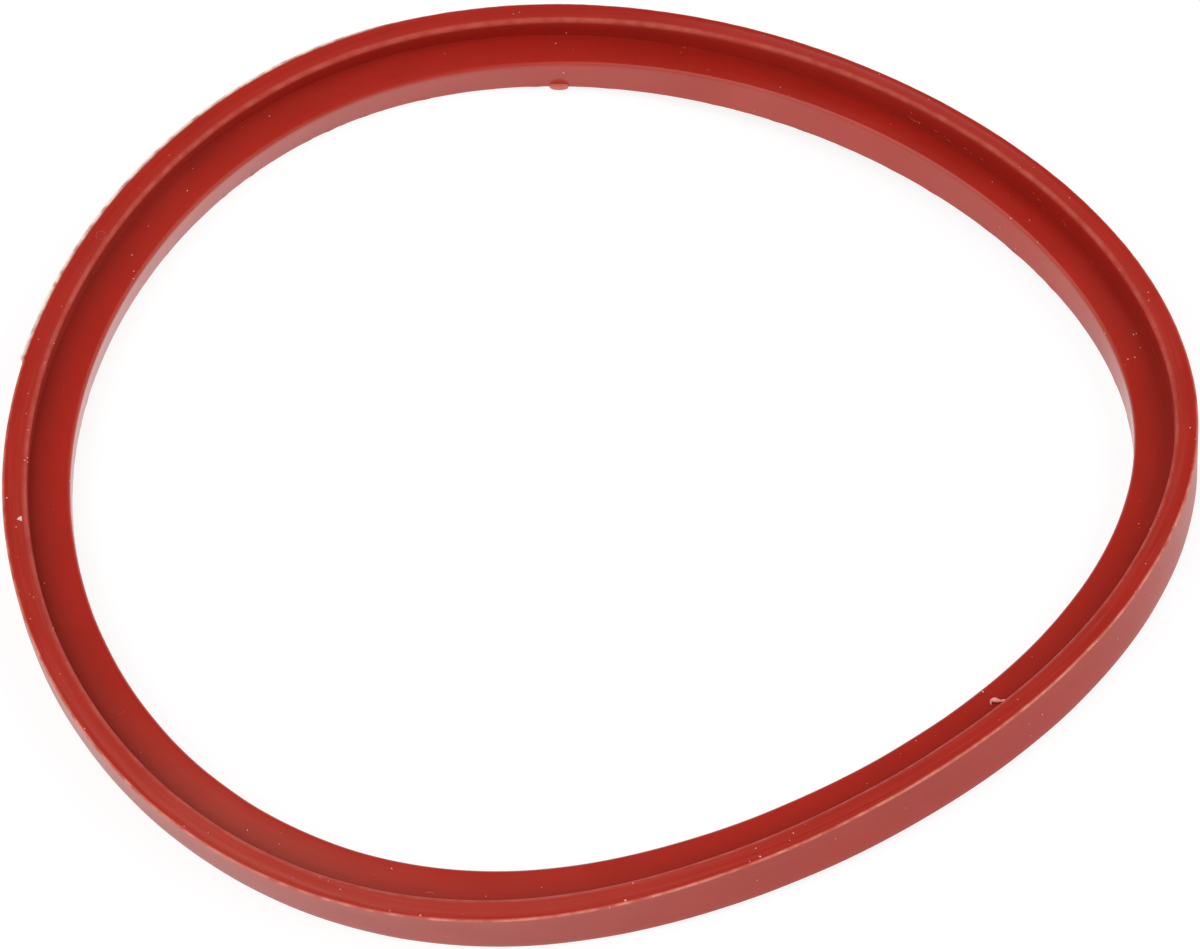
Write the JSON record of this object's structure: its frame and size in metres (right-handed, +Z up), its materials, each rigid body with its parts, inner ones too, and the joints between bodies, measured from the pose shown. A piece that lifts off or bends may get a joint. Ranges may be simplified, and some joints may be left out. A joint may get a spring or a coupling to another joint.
{
  "type": "boiler gasket",
  "caption": "Egg-shaped ring of soft red silicone with a stepped section, which seals the lid of a small appliance's boiler.",
  "frame": {"origin": "middle of the ring's box, on the plane of the flat underside", "axes": "+X towards the pointed end of the egg along its line of symmetry, +Z up from the underside to the rim"},
  "size_m": [0.094, 0.0836, 0.0049],
  "materials": {
    "silicone": "smooth, moderately glossy red silicone rubber, slightly dusty"
  },
  "bodies": {
    "root": {"gasket_ring": "silicone"}
  },
  "joints": []
}
